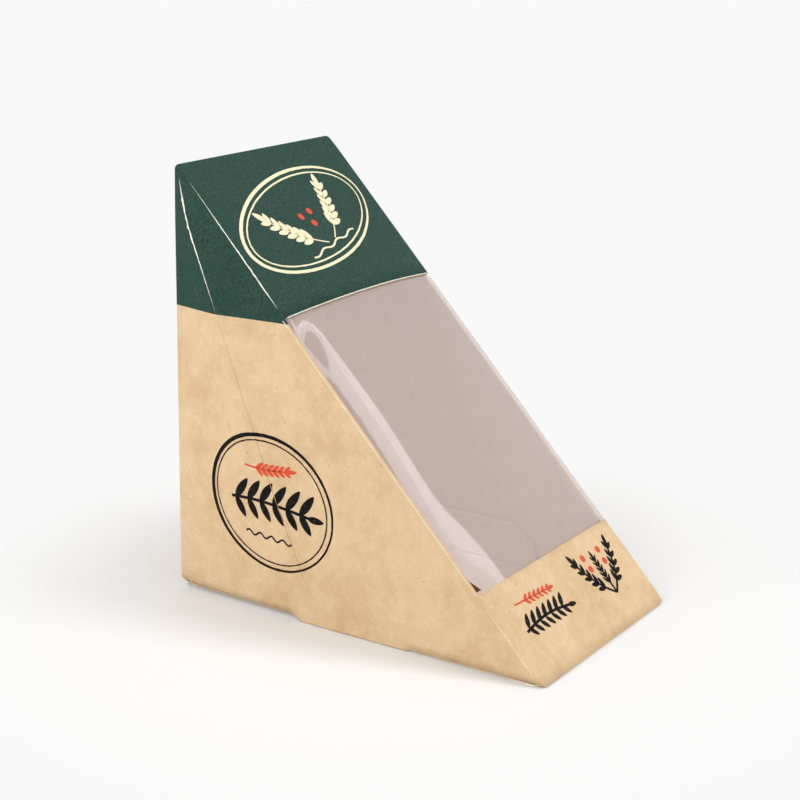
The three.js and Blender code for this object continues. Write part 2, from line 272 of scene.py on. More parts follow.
def share_of(tree, texture, low, high, most=1):
    """Turns the stretch of a noise between low and high into a share from 0 to most."""
    made = add_node(tree, "ShaderNodeMapRange", {"From Min": low, "From Max": high, "To Max": most},
                    {"Value": texture.outputs["Fac"]})
    return made.outputs["Result"]


def laid_over(tree, share, under, over):
    """Mixes a colour over another; each is a linear colour or the output of an earlier mix."""
    both = {6: under, 7: over}
    fixed = {i: colour for i, colour in both.items() if isinstance(colour, list)}
    linked = {i: colour for i, colour in both.items() if not isinstance(colour, list)}
    node = add_node(tree, "ShaderNodeMix", {"data_type": "RGBA", **fixed}, {"Factor": share, **linked})
    return node.outputs[2]


def roughen(tree, surface, texture, strength, height):
    bump = add_node(tree, "ShaderNodeBump", {"Strength": strength, "Distance": height},
                    {"Height": texture.outputs["Fac"]})
    tree.links.new(bump.outputs["Normal"], surface.inputs["Normal"])


print("pattern helpers:", [made.__name__ for made in (noise_at, share_of, laid_over, roughen)])

# %% [markdown]
# ## Kraft board
#
# Unbleached kraft liner is brown paper made of long softwood fibres. Up close it is never one colour: it
# has soft clouds a centimetre or two across where the pulp lay thicker, a felt of short fibres, and stray
# dark specks. It is matt with a faint sheen from the rolls it was pressed on. One function makes it, as the
# outer face, the inner face and the raw cut edge differ only in tone and sheen.

# %% Kraft board
CLOUD = 14
FLOC = 3.2
FIBRE = 0.55
SPECK = 1.6
SPECK_COLOUR = "#8a6238"


def kraft(name, tone, shade, light, roughness=0.78):
    """Tone is the mean colour, shade the darker clouds and light the paler fibres."""
    material, tree, surface = new_material(name)
    clouds = noise_at(tree, CLOUD, Detail=3, Roughness=0.6)
    floc = noise_at(tree, FLOC, Detail=4, Roughness=0.65)
    fibre = noise_at(tree, FIBRE, Detail=2, Distortion=0.8)
    specks = noise_at(tree, SPECK, Detail=1)
    colour = laid_over(tree, share_of(tree, clouds, 0.4, 0.66, 0.75), linear(tone), linear(shade))
    colour = laid_over(tree, share_of(tree, floc, 0.45, 0.75, 0.55), colour, linear(light))
    colour = laid_over(tree, share_of(tree, fibre, 0.35, 0.75, 0.35), colour, linear(shade))
    colour = laid_over(tree, share_of(tree, specks, 0.74, 0.8, 0.35), colour, linear(SPECK_COLOUR))
    tree.links.new(colour, surface.inputs["Base Color"])
    roughen(tree, surface, fibre, 0.25, 0.04 * MM)
    set_inputs(surface, {"Roughness": roughness, "IOR": 1.5, "Specular IOR Level": 0.3})
    return material


kraft_outer = kraft("kraft_liner_outer", "#e2c49c", "#d0ae81", "#efd7b2")
kraft_inner = kraft("kraft_liner_inner", "#e0c3a4", "#d0b08c", "#ead2b6", 0.85)
raw_edge = kraft("kraft_cut_edge", "#faeed6", "#eedbb6", "#fff8ea", 0.9)
# The cut edge of the dust flaps is a darker brown: painted shade for the shadow line round the flaps behind
# the film.
painted_shade_edge = kraft("kraft_cut_edge_painted_shade", "#a98760", "#957349", "#bb9a74", 0.9)
print("kraft materials:", [m.name for m in (kraft_outer, kraft_inner, raw_edge, painted_shade_edge)])

# %% [markdown]
# ## Green flexo ink
#
# The green is a solid field printed on the same brown liner by a rubber plate. Ink sinks in unevenly, so
# the liner's grain shows through as a fine mottle, a little lighter and a little darker, over softer
# patches half a centimetre across. It is quite matt. Where a fold has cracked it, pale lines of bare
# fibre are laid on it further down.

# %% Green print
GRAIN = 0.7
MOTTLE = 5


def green_ink():
    material, tree, surface = new_material("green_flexo_ink")
    grain = noise_at(tree, GRAIN, Detail=3, Roughness=0.7)
    mottle = noise_at(tree, MOTTLE, Detail=3, Roughness=0.6)
    colour = laid_over(tree, share_of(tree, grain, 0.35, 0.68), linear("#1b3830"), linear("#37544a"))
    colour = laid_over(tree, share_of(tree, mottle, 0.42, 0.62, 0.6), colour, linear("#22443a"))
    tree.links.new(colour, surface.inputs["Base Color"])
    roughen(tree, surface, grain, 0.2, 0.03 * MM)
    set_inputs(surface, {"Roughness": 0.65, "Specular IOR Level": 0.15})
    return material


green = green_ink()
print("green ink:", len(green.node_tree.nodes), "nodes")

# %% [markdown]
# ## How the board stands
#
# A folded gusset never lies flat again. The crease that lets the side collapse halves the angle at the
# apex, and it stands out a few millimetres as a soft ridge. The front panel, cut through by the window,
# bows out across its width. Both are smooth functions of a point on the panel, so we build the panels
# flat and true first, and push them out at the end.

# %% Bulge and bow
CREASE_BULGE = 2.95 * MM
CREASE_FOOT_BULGE = 1 * MM
CREASE_RISE = 20 * MM
CREASE_FALL = 45 * MM
CREASE_LENGTH = HEIGHT / math.cos(APEX_ANGLE / 2)
WINDOW_TOP_BOW = 3 * MM
LOWER_BAND_BOW = 0.4 * MM
SOFTNESS = 0.05


def gusset_bulge(y, z):
    """How far a side stands out at a point of its face."""
    from_apex = math.hypot(BACK - y, HEIGHT - z)
    angle = math.atan2(BACK - y, HEIGHT - z)
    off_crease = abs(angle / (APEX_ANGLE / 2) - 1)
    ridge = max(0, 1 - math.sqrt(off_crease ** 2 + SOFTNESS ** 2) + SOFTNESS)
    rise = smoothstep(from_apex, 0, CREASE_RISE)
    fall = smoothstep(from_apex, CREASE_LENGTH - CREASE_FALL, CREASE_LENGTH)
    return min(1, ridge) * rise * mix(CREASE_BULGE, CREASE_FOOT_BULGE, fall)


def front_bow(x, s):
    """How far the front stands out, s down the slope from the apex."""
    across = max(0, 1 - (x / (WIDTH / 2)) ** 2)
    up = WINDOW_TOP_BOW * smoothstep(s, 0, UPPER_PANEL)
    return across * mix(up, LOWER_BAND_BOW, smoothstep(s, UPPER_PANEL, WINDOW_BOTTOM))


def on_slope(x, s, n):
    return APEX + Vector((x, 0, 0)) + DOWN_SLOPE * s + OUT_OF_SLOPE * n


def down_slope(point):
    return (point - APEX).dot(DOWN_SLOPE)


print("bulge half way down the crease:", round(gusset_bulge(BACK - 25 * MM, 62 * MM) / MM, 2), "mm")

# %% [markdown]
# ## The folded board
#
# A wedge is a cube with its upper front edge pushed back onto the upper rear one, so that is how we start.
# Bevels with a few segments turn the sharp edges into folds with the radius that board takes. Then planes
# slice in loops where something happens: the crease, the edge of the print, the ends of the window, the
# foot. A regular set of extra cuts gives the panels enough points to bend smoothly.

# %% A wedge with round folds
SIDE_FOLD_RADIUS = 1.0 * MM
APEX_FOLD_RADIUS = 0.9 * MM
FOLD_SEGMENTS = 5
TOLERANCE = 0.01 * MM


def is_side(face):
    return abs(face.normal.x) > 0.99


def is_front(face):
    return abs(face.normal.x) < 0.99 and face.normal.y < -0.3


def wedge_skin():
    bm = bmesh.new()
    bmesh.ops.create_cube(bm, size=1)
    for vert in bm.verts:
        top = vert.co.z > 0
        rear = vert.co.y > 0
        vert.co = (vert.co.x * WIDTH, BACK if rear or top else -BACK, HEIGHT if top else 0)
    bmesh.ops.remove_doubles(bm, verts=bm.verts, dist=TOLERANCE)
    bm.normal_update()
    floor_faces = [f for f in bm.faces if f.normal.z < -0.9]
    bmesh.ops.delete(bm, geom=floor_faces, context="FACES_ONLY")
    apex_edge = [e for e in bm.edges if all(v.co.z > HEIGHT - MM for v in e.verts)]
    bevel(bm, apex_edge, APEX_FOLD_RADIUS / math.tan(APEX_ANGLE / 2), 2 * FOLD_SEGMENTS)
    bm.normal_update()
    side_folds = [e for e in bm.edges if len(e.link_faces) == 2
                  and is_side(e.link_faces[0]) != is_side(e.link_faces[1])]
    bevel(bm, side_folds, SIDE_FOLD_RADIUS, FOLD_SEGMENTS, clamp_overlap=True)
    bm.normal_update()
    return bm


test = wedge_skin()
print("wedge:", len(test.faces), "faces, top at", round(max(v.co.z for v in test.verts) / MM, 2), "mm")
test.free()

# %% [markdown]
# The window is cut to the side folds, and only a hair of board stands at each side. On the right the edge
# of the side is trimmed back as well, because the film stands proud of it there. A fan of cuts from the
# apex lets each side bend on its crease.

# %% Cut the loops and the window
STEP = 3.2 * MM
WINDOW_LIP = 0.15 * MM
HEM_REAR = BACK - 44 * MM
HEM_FRONT = BACK - 79.5 * MM
HEM_GAP = 0.3 * MM
HEM_RADIUS = BOARD + HEM_GAP / 2
HEM_RUNOUT = 4 * MM
CREASE_BEAD = 0.5 * MM
CREASE_DEPTH = 0.18 * MM
ACROSS_CREASE = Vector((0, math.cos(APEX_ANGLE / 2), -math.sin(APEX_ANGLE / 2)))
RIGHT_TRIM = 1.5 * MM
FAN_CUTS = 17


def slice_panels(bm):
    for level in [PRINT_LEVEL, EDGE_RISE, HEM_RADIUS] + [i * STEP for i in range(1, int(HEIGHT / STEP))]:
        cut(bm, (0, 0, level), (0, 0, 1))
    for s in (UPPER_PANEL, WINDOW_BOTTOM):
        cut(bm, on_slope(0, s, 0), DOWN_SLOPE, is_front)
    across = int(WIDTH / STEP)
    for i in range(1, across):
        x = mix(-WIDTH / 2, WIDTH / 2, i / across)
        cut(bm, (x, 0, 0), (1, 0, 0), lambda f: not is_side(f))
    for side in (-1, 1):
        cut(bm, (side * (WIDTH / 2 - WINDOW_LIP), 0, 0), (1, 0, 0), is_front)
    near_fold = on_slope(0, 0, -2 * STEP)
    cut(bm, on_slope(0, 0, -RIGHT_TRIM), OUT_OF_SLOPE, is_side)
    for s in (UPPER_PANEL, WINDOW_BOTTOM):
        cut(bm, on_slope(0, s, 0), DOWN_SLOPE,
            lambda f: is_side(f) and (f.calc_center_median() - near_fold).dot(OUT_OF_SLOPE) > 0)
    for i in range(1, FAN_CUTS + 1):
        angle = APEX_ANGLE * i / (FAN_CUTS + 1)
        cut(bm, APEX, (0, math.cos(angle), -math.sin(angle)), is_side)
    for offset in (-CREASE_BEAD, 0, CREASE_BEAD):
        cut(bm, APEX + ACROSS_CREASE * offset, ACROSS_CREASE, is_side)
    for y in (HEM_REAR + HEM_RUNOUT, HEM_REAR, HEM_FRONT, HEM_FRONT - HEM_RUNOUT / 2):
        cut(bm, (0, y, 0), (0, 1, 0), lambda f: is_side(f) and f.calc_center_median().z < 2 * STEP)


def open_window(bm):
    def in_window(face):
        middle = face.calc_center_median()
        inside = UPPER_PANEL < down_slope(middle) < WINDOW_BOTTOM
        clear = is_front(face) and abs(middle.x) < WIDTH / 2 - WINDOW_LIP
        trimmed = middle.x > 0 and (middle - APEX).dot(OUT_OF_SLOPE) > -RIGHT_TRIM
        return inside and (clear or trimmed)
    bmesh.ops.delete(bm, geom=[f for f in bm.faces if in_window(f)], context="FACES")


carton_bm = wedge_skin()
slice_panels(carton_bm)
open_window(carton_bm)
print("sliced carton:", len(carton_bm.faces), "faces")

# %% [markdown]
# The foot of each side is cut just clear of the table, but for the length where the board goes on, turns
# round a hem at table level and stands up inside as a dust flap. Spin is the operator for a hem: it turns
# the lower edge of the side round an axis just inside the board, half a turn, and leaves faces behind it.
# Extruding the last edges straight up gives the flap.

# %% Foot, hems and dust flaps
FLAP_HEIGHT = 14 * MM
FLAP_CORNER = 10 * MM
FLAP_LEAN = 0.6 * MM
FLAP_ROWS = 7
EDGE_SEARCH = 0.1 * MM


def trim_foot(bm):
    """Takes away what lies below the raw edges, all but the hems and the back panel."""
    def below(face):
        middle = face.calc_center_median()
        if middle.z > EDGE_RISE or face.normal.y > 0.5:
            return False
        hemmed = is_side(face) and HEM_FRONT < middle.y < HEM_REAR
        return not (hemmed and middle.z > HEM_RADIUS)
    bmesh.ops.delete(bm, geom=[f for f in bm.faces if below(f)], context="FACES")


def add_dust_flap(bm, side):
    foot = [e for e in bm.edges if e.is_boundary
            and all(abs(v.co.z - HEM_RADIUS) < TOLERANCE for v in e.verts)
            and all(v.co.x * side > WIDTH / 2 - EDGE_SEARCH for v in e.verts)
            and all(HEM_FRONT - EDGE_SEARCH < v.co.y < HEM_REAR + EDGE_SEARCH for v in e.verts)]
    axis = (side * (WIDTH / 2 - HEM_RADIUS), 0, HEM_RADIUS)
    row = spin(bm, foot, axis, (0, side, 0), math.pi, 2 * FOLD_SEGMENTS)
    lift = (FLAP_HEIGHT - HEM_RADIUS) / FLAP_ROWS
    for _ in range(FLAP_ROWS):
        grown = bmesh.ops.extrude_edge_only(bm, edges=row)["geom"]
        row = [e for e in only(BMEdge, grown) if all(v in grown for v in e.verts)]
        bmesh.ops.translate(bm, verts=only(BMVert, grown), vec=(-side * FLAP_LEAN / FLAP_ROWS, 0, lift))


trim_foot(carton_bm)
for side in (-1, 1):
    add_dust_flap(carton_bm, side)
print("with dust flaps:", len(carton_bm.faces), "faces")

# %% [markdown]
# Now the true, flat carton is bent. Points on the sides move out by the bulge, points on the front by the
# bow. The front corner of each dust flap is rounded by lowering the points there onto a quarter circle.

# %% Bend the panels
FLAP_SEARCH = 1 * MM
FLAP_INNERMOST = 30 * MM
FLAP_OUTERMOST = WIDTH / 2 - 1.5 * HEM_RADIUS
FLAP_LEAST = 0.2 * MM
SIDE_INNERMOST = WIDTH / 2 - 1.01 * SIDE_FOLD_RADIUS - 2 * HEM_RADIUS
SIDE_FRONT = -BACK + 2 * MM


def is_on_flap(x, y, z):
    low = z < FLAP_HEIGHT + FLAP_SEARCH
    along = HEM_FRONT - FLAP_SEARCH < y < HEM_REAR + FLAP_SEARCH
    return low and along and FLAP_INNERMOST < abs(x) < FLAP_OUTERMOST


def bend(bm):
    for vert in bm.verts:
        x, y, z = vert.co
        s = down_slope(vert.co)
        side = 1 if x > 0 else -1
        on_flap = is_on_flap(x, y, z)
        if on_flap:
            over = HEM_FRONT + FLAP_CORNER - y
            if over > 0:
                foot = FLAP_HEIGHT - FLAP_CORNER
                roof = foot + math.sqrt(max(0, FLAP_CORNER ** 2 - over ** 2))
                vert.co.z = min(z, max(roof, HEM_RADIUS + FLAP_LEAST))
            vert.co.x += side * gusset_bulge(y, EDGE_RISE)
        elif abs(x) > SIDE_INNERMOST and y > SIDE_FRONT:
            off_score = abs((vert.co - APEX).dot(ACROSS_CREASE))
            score = CREASE_DEPTH * (1 - smoothstep(off_score, 0, CREASE_BEAD))
            vert.co.x += side * (gusset_bulge(y, max(z, EDGE_RISE)) - score)
        if not on_flap and abs(x) < WIDTH / 2 and y < BACK - 2 * APEX_FOLD_RADIUS:
            vert.co += OUT_OF_SLOPE * front_bow(x, s)


bend(carton_bm)
print("half width of the bent carton:", round(max(v.co.x for v in carton_bm.verts) / MM, 2), "mm")

# %% [markdown]
# Handling rounds the corners of a folded carton, at the tips of the apex fold and at the foot. Behind the
# hem the raw foot of the side also stands a little higher than in front of it.

# %% Worn corners
APEX_CORNER = 1.6 * MM
REAR_CORNER = 2.4 * MM
REAR_LIFT = 1.5 * MM
FRONT_CORNER = 2.2 * MM
CORNER_DEPTH = 9 * MM
CORNER_REACH = 4 * MM


def rounding(reach, radius):
    """How far a corner of this radius falls short, at a distance from its end."""
    over = min(radius, max(0, radius - reach))
    return radius - math.sqrt(radius ** 2 - over ** 2)


def wear_corners(bm):
    for vert in bm.verts:
        x, y, z = vert.co
        side = math.copysign(1, x)
        from_tip = HEIGHT - APEX_FOLD_RADIUS - z
        if abs(x) > WIDTH / 2 - APEX_CORNER and from_tip < APEX_CORNER:
            vert.co.x -= side * rounding(max(0, from_tip), APEX_CORNER)
        if z < CORNER_DEPTH and y > 0 and abs(x) > WIDTH / 2 - CORNER_REACH:
            along = max(BACK - y, WIDTH / 2 - abs(x))
            behind_hem = smoothstep(y, HEM_REAR, HEM_REAR + HEM_RUNOUT)
            near_side = smoothstep(abs(x), WIDTH / 2 - CORNER_REACH, WIDTH / 2 - MM)
            lift = rounding(along, REAR_CORNER) + REAR_LIFT * behind_hem * near_side
            vert.co.z += lift * (1 - z / CORNER_DEPTH)
        if z < FRONT_CORNER and y < -BACK + CORNER_REACH and abs(x) > WIDTH / 2 - FRONT_CORNER:
            vert.co.x -= side * rounding(z, FRONT_CORNER)


wear_corners(carton_bm)
carton_bm.normal_update()
print("corner radii:", [round(c / MM, 1) for c in (APEX_CORNER, REAR_CORNER, FRONT_CORNER)], "mm")

# %% [markdown]
# Faces above the print level take the ink: the loop that we cut there keeps the edge of the print crisp.
# Each of the three looks of the skin has one for the inner face and one for the cut edge behind it.

# %% Print and thickness
for face in carton_bm.faces:
    x, y, z = face.calc_center_median()
    flap = z < FLAP_HEIGHT and abs(x) < WIDTH / 2 - HEM_RADIUS and HEM_FRONT < y < HEM_REAR
    face.material_index = 2 if flap else 1 if z > PRINT_LEVEL else 0
outer_faces = [kraft_outer, green, kraft_outer]
inner_faces = [kraft_inner] * 3
# The third cut edge, on the dust flaps, takes the darker kraft with its painted shade.
edges = [raw_edge, raw_edge, painted_shade_edge]
carton = finished(carton_bm, "folded_carton", outer_faces + inner_faces + edges, "carton")
thicken(carton, BOARD, inner=3, rim=6)
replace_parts(carton, "carton_body")

# %% [markdown]
# ## Glue flaps
#
# The sides end in flaps that are stuck inside the back panel. They are seen only when the base is open, and
# they are plain strips of board with sloping ends.

# %% Glue flaps
def board_piece(bm, name, body, depth=BOARD, smooth=False):
    """A plain piece of board, its outer face, inner face and cut edge each in its own tone."""
    piece = finished(bm, name, [kraft_outer, kraft_inner, raw_edge], body, smooth)
    thicken(piece, depth, inner=1, rim=2)
    return piece


GLUE_FLAP_WIDTH = 12 * MM
GLUE_FLAP_FOOT = 4 * MM
GLUE_FLAP_HEAD = HEIGHT - 14 * MM
GLUE_FLAP_TAPER = 5 * MM
GLUE_FILM = 0.02 * MM

for side, side_name in ((-1, "left"), (1, "right")):
    flap_bm = bmesh.new()
    bmesh.ops.create_grid(flap_bm, x_segments=1, y_segments=1, size=1)
    for vert in flap_bm.verts:
        free_edge = vert.co.x * side < 0
        inwards = GLUE_FLAP_WIDTH if free_edge else 0
        taper = GLUE_FLAP_TAPER if free_edge else 0
        x = side * (WIDTH / 2 - BOARD - GLUE_FILM - inwards)
        z = GLUE_FLAP_HEAD - taper if vert.co.y > 0 else GLUE_FLAP_FOOT + taper
        vert.co = (x, BACK - BOARD - GLUE_FILM, z)
    face_towards(flap_bm, (0, 1, 0))
    board_piece(flap_bm, f"glue_flap_{side_name}", "carton")

# %% [markdown]
# ## Where the prints lie
#
# Ink has no thickness to speak of, so each print is a mesh as thin as paint, laid on the bent board. We
# draw it flat in millimetres, as on the printer's plate, cut it small enough to follow the board, and drop
# every point onto the board's outer face along a ray. The plate of the side measures from the back edge
# and up from the table, the plate of the slope across from the middle and down from the apex. The cuts are
# shifted a little, so that they miss the points that the drawings share.

# %% Laying a print on the board
INK_LIFT = 0.045 * MM
INK_DEPTH = 0.02 * MM
PLATE_STEP = 1.3
PLATE_SHIFT = 0.037
SLOPE_RAY = 20 * MM
FOLD_RAY = 5 * MM
CREASE_NORMAL = Vector((math.cos(APEX_ANGLE / 2), math.sin(APEX_ANGLE / 2), 0))

board_shape = BVHTree.FromPolygons([v.co.copy() for v in carton.data.vertices],
                                   [tuple(f.vertices) for f in carton.data.polygons])


def side_plate(u, v):
    return Vector((-WIDTH, BACK - u * MM, v * MM)), Vector((1, 0, 0))


def slope_plate(u, v):
    return on_slope(u * MM, v * MM, SLOPE_RAY), -OUT_OF_SLOPE


def fold_plate(u, v):
    """Along the left side fold: u down the slope from the apex, v round the fold."""
    diagonal = (OUT_OF_SLOPE - Vector((1, 0, 0))).normalized()
    across = (OUT_OF_SLOPE + Vector((1, 0, 0))).normalized()
    start = on_slope(-WIDTH / 2, u * MM, 0) + diagonal * FOLD_RAY + across * v * MM
    return start, -diagonal


def lay(bm, name, plate, material):
    """Drops a flat drawing onto the board and makes it a print."""
    us = [v.co.x for v in bm.verts]
    vs = [v.co.y for v in bm.verts]
    for low, high, axis in ((min(us), max(us), (1, 0, 0)), (min(vs), max(vs), (0, 1, 0))):
        for i in range(math.floor(low / PLATE_STEP), math.ceil(high / PLATE_STEP) + 1):
            cut(bm, Vector(axis) * (i * PLATE_STEP + PLATE_SHIFT), axis)
    if plate is side_plate:
        for offset in (-CREASE_BEAD, 0, CREASE_BEAD):
            crossing = Vector((0, HEIGHT, 0)) + CREASE_NORMAL * offset
            cut(bm, crossing / MM, CREASE_NORMAL)
    for vert in bm.verts:
        origin, direction = plate(vert.co.x, vert.co.y)
        hit = board_shape.ray_cast(origin, direction)[0]
        vert.co = hit - direction * INK_LIFT
    face_towards(bm, -plate(0, 0)[1])
    piece = finished(bm, name, [material], "carton", smooth=False)
    thicken(piece, INK_DEPTH)


print("board to print on:", len(carton.data.polygons), "faces")

# %% [markdown]
# ## Inks
#
# Flexo inks are thin and matt. The cream on the green field is an opaque light ink, the black is a warm
# black that lets a little board through in its solids, and the orange-red is bright and slightly uneven.
# The fourth is no ink at all but the bare, pale fibre that shows where the print has cracked.

# %% Inks
THIN_PATCH = 1.1


def ink(name, colour, thin, roughness=0.62, gloss=0.3):
    """Colour is the full ink, thin the colour where the board shows through."""
    material, tree, surface = new_material(name)
    grain = noise_at(tree, THIN_PATCH, Detail=3, Roughness=0.7)
    tone = laid_over(tree, share_of(tree, grain, 0.5, 0.72), linear(colour), linear(thin))
    tree.links.new(tone, surface.inputs["Base Color"])
    set_inputs(surface, {"Roughness": roughness, "Specular IOR Level": gloss})
    return material


cream_ink = ink("cream_flexo_ink", "#f6ecc4", "#e2dab4")
black_ink = ink("black_flexo_ink", "#0d0c0d", "#2a2420", gloss=0.1)
orange_ink = ink("orange_red_flexo_ink", "#dd4a28", "#d8683f")
bare_fibre = ink("bare_paper_fibre", "#fdfaec", "#e6dcc0", roughness=0.85)
print("inks:", [m.name for m in (cream_ink, black_ink, orange_ink, bare_fibre)])

# %% [markdown]
# ## Drawing on the plate
#
# Three strokes are enough for all the artwork. A ring is two circles drawn into ellipses and bridged, a
# little rough at its edges. A leaf, a grain or a dot is a filled circle, stretched and pinched at its tip.

# %% Rings and leaves
RING_WEAR = 0.09
RING_GRAIN = 14
LEAF_TIP_CURVE = 0.35
LEAF_FOOT_CURVE = 0.12
BROAD_LEAF_TIP = 0.8


def turned_by(u, v, degrees):
    a = math.radians(degrees)
    return u * math.cos(a) - v * math.sin(a), u * math.sin(a) + v * math.cos(a)


def tilted_frame(centre, degrees):
    """Gives a function for the points of a drawing that is turned about its centre."""
    def at(u, v):
        u, v = turned_by(u, v, degrees)
        return centre[0] + u, centre[1] + v
    return at


def draw_ring(bm, centre, radii, degrees, width, heavy=(0, 0)):
    """Heavy moves the inner edge of the stroke, which makes one side of it thicker."""
    loops = []
    for inset, move in ((0, (0, 0)), (width, heavy)):
        made = bmesh.ops.create_circle(bm, segments=144, radius=1)["verts"]
        for vert in made:
            spot = Vector((vert.co.x * RING_GRAIN, vert.co.y * RING_GRAIN, inset * 9))
            rough = RING_WEAR * noise.noise(spot)
            u = vert.co.x * (radii[0] - inset + rough)
            v = vert.co.y * (radii[1] - inset + rough)
            u, v = turned_by(u, v, degrees)
            vert.co = (centre[0] + u + move[0], centre[1] + v + move[1], 0)
        loops += list({e for vert in made for e in vert.link_edges})
    bmesh.ops.bridge_loops(bm, edges=loops)


def draw_leaf(bm, at, length, width, degrees, tip=0.6):
    """A leaf from its foot; tip 0 leaves it an ellipse, 1 makes it sharp."""
    made = bmesh.ops.create_circle(bm, cap_ends=True, segments=20, radius=0.5)["verts"]
    for vert in made:
        along = vert.co.x + 0.5
        pinch = mix(1, max(0, 1 - along) ** LEAF_TIP_CURVE * max(0.05, along) ** LEAF_FOOT_CURVE, tip)
        u, v = turned_by(along * length, vert.co.y * width * pinch, degrees)
        vert.co = (at[0] + u, at[1] + v, 0)


def draw_dot(bm, at, radius):
    made = bmesh.ops.create_circle(bm, cap_ends=True, segments=14, radius=radius)["verts"]
    bmesh.ops.translate(bm, verts=made, vec=(at[0], at[1], 0))


print("a point 10 mm right, turned up:", [round(c, 1) for c in turned_by(10, 0, 90)])

# %% [markdown]
# The third stroke, a stalk or a wave, is a narrow grid bent along a curve. An ear of wheat or a sprig is
# made of such a stalk and of leaves.

# %% Lines and sprigs
CURVE_NUDGE = 0.01
FIRST_GRAIN = 0.3
LAST_GRAIN = 0.95
GRAIN_LEAN = 38


def draw_line(bm, path, width, steps):
    """Path gives a point for a share of the way from 0 to 1."""
    made = bmesh.ops.create_grid(bm, x_segments=steps, y_segments=1, size=0.5)["verts"]
    for vert in made:
        t = vert.co.x + 0.5
        a, b = Vector(path(max(0, t - CURVE_NUDGE))), Vector(path(min(1, t + CURVE_NUDGE)))
        along = (b - a).normalized()
        half = width * vert.co.y
        here = Vector(path(t))
        vert.co = (here.x - along.y * half, here.y + along.x * half, 0)


def draw_sprig(bm, foot, length, degrees, pairs, leaf=(4.2, 1.9), bend_by=0.0, width=0.45):
    """An ear or a sprig: pairs of grains or leaves along a curved stalk, and one at its end."""
    def path(t):
        u, v = turned_by(t * length, bend_by * length * t * t, degrees)
        return foot[0] + u, foot[1] + v
    draw_line(bm, path, width, steps=16)
    for i in range(pairs):
        t = mix(FIRST_GRAIN, LAST_GRAIN, i / (pairs - 1))
        heading = degrees + math.degrees(math.atan(2 * bend_by * t))
        for lean in (-GRAIN_LEAN, GRAIN_LEAN):
            draw_leaf(bm, path(t), leaf[0] * mix(1, 0.75, t), leaf[1] * mix(1, 0.8, t), heading + lean)
    heading = degrees + math.degrees(math.atan(2 * bend_by))
    draw_leaf(bm, path(1), leaf[0], leaf[1], heading)


print("strokes:", [made.__name__ for made in (draw_ring, draw_leaf, draw_dot, draw_line, draw_sprig)])

# %% [markdown]
# ## Badge on the slope
#
# Two fine cream rings frame the badge. Inside stand two ears of wheat that lean apart over a wavy line,
# with three orange-red berries between them.

# %% Slope badge
SLOPE_BADGE = (-1.0, 27.3)
SLOPE_BADGE_RADII = (32.9, 16.1)
SLOPE_BADGE_TURN = -13

on_badge = tilted_frame(SLOPE_BADGE, SLOPE_BADGE_TURN)
art = bmesh.new()
draw_ring(art, SLOPE_BADGE, SLOPE_BADGE_RADII, SLOPE_BADGE_TURN, width=1.0, heavy=(0.3, 0))
inner_radii = (SLOPE_BADGE_RADII[0] - 2.5, SLOPE_BADGE_RADII[1] - 2.2)
draw_ring(art, SLOPE_BADGE, inner_radii, SLOPE_BADGE_TURN, width=0.55)
for foot, lean, curve in ((-2, -150, 0.3), (2, -30, -0.3)):
    draw_sprig(art, on_badge(foot, 9.5), 20, SLOPE_BADGE_TURN + lean, 6, leaf=(5, 2.5), bend_by=curve)
draw_line(art, lambda t: on_badge(mix(-13, 13, t), 10.6 + 0.5 * math.sin(t * 6 * math.pi)), 0.6, 60)
lay(art, "slope_badge_cream", slope_plate, cream_ink)

art = bmesh.new()
for u, v in ((0, 2.5), (-2.6, -1.2), (2.6, -1.2)):
    draw_dot(art, on_badge(u, v), 1.15)
lay(art, "slope_badge_berries", slope_plate, orange_ink)

# %% [markdown]
# ## Badge on the side
#
# The side carries a rounder badge in black. A spray of broad leaves fills it, an orange-red sprig lies
# above, and a fine waved rule closes it below.

# %% Side badge
SIDE_BADGE = (34.3, 33.7)
SIDE_BADGE_RADII = (21.7, 19.4)
SIDE_BADGE_TURN = -30
SIDE_ART_TURN = -3
TWIG_HALF = 13.5

on_side_badge = tilted_frame(SIDE_BADGE, SIDE_ART_TURN)


def on_twig(u):
    """A point of the twig, which arches a little."""
    return on_side_badge(u, -1.2 + 1.2 * math.sin((u + TWIG_HALF) / (2 * TWIG_HALF) * math.pi))


art = bmesh.new()
draw_ring(art, SIDE_BADGE, SIDE_BADGE_RADII, SIDE_BADGE_TURN, width=0.9, heavy=(0.28, -0.16))
inner_radii = (SIDE_BADGE_RADII[0] - 1.9, SIDE_BADGE_RADII[1] - 1.9)
draw_ring(art, SIDE_BADGE, inner_radii, SIDE_BADGE_TURN, width=0.4)
draw_line(art, lambda t: on_twig(mix(-TWIG_HALF, TWIG_HALF, t)), 0.9, 40)
for i in range(6):
    root = on_twig(mix(-12, 10.5, i / 5))
    draw_leaf(art, root, 7.6, 3.3, 54, BROAD_LEAF_TIP)
    draw_leaf(art, root, 6.6, 3.0, -58, BROAD_LEAF_TIP)
draw_leaf(art, on_side_badge(13, -1.2), 5.2, 2.7, -6, BROAD_LEAF_TIP)
draw_line(art, lambda t: on_side_badge(mix(-8, 8, t), -10.4 + 0.6 * math.sin(t * 8 * math.pi)), 0.55, 70)
lay(art, "side_badge_black", side_plate, black_ink)

art = bmesh.new()
draw_sprig(art, on_side_badge(-9, 9.4), 14.5, -4, 6, leaf=(3.3, 1.5), bend_by=0.1, width=0.55)
lay(art, "side_badge_sprig", side_plate, orange_ink)

# %% [markdown]
# ## Prints on the lower band
#
# Below the window two small motifs repeat the artwork: a leafy twig in black with an orange-red one above
# it on the left, and on the right a sheaf of three sprigs with berries between them.

# %% Lower band
SHEAF = (18, 164.5)

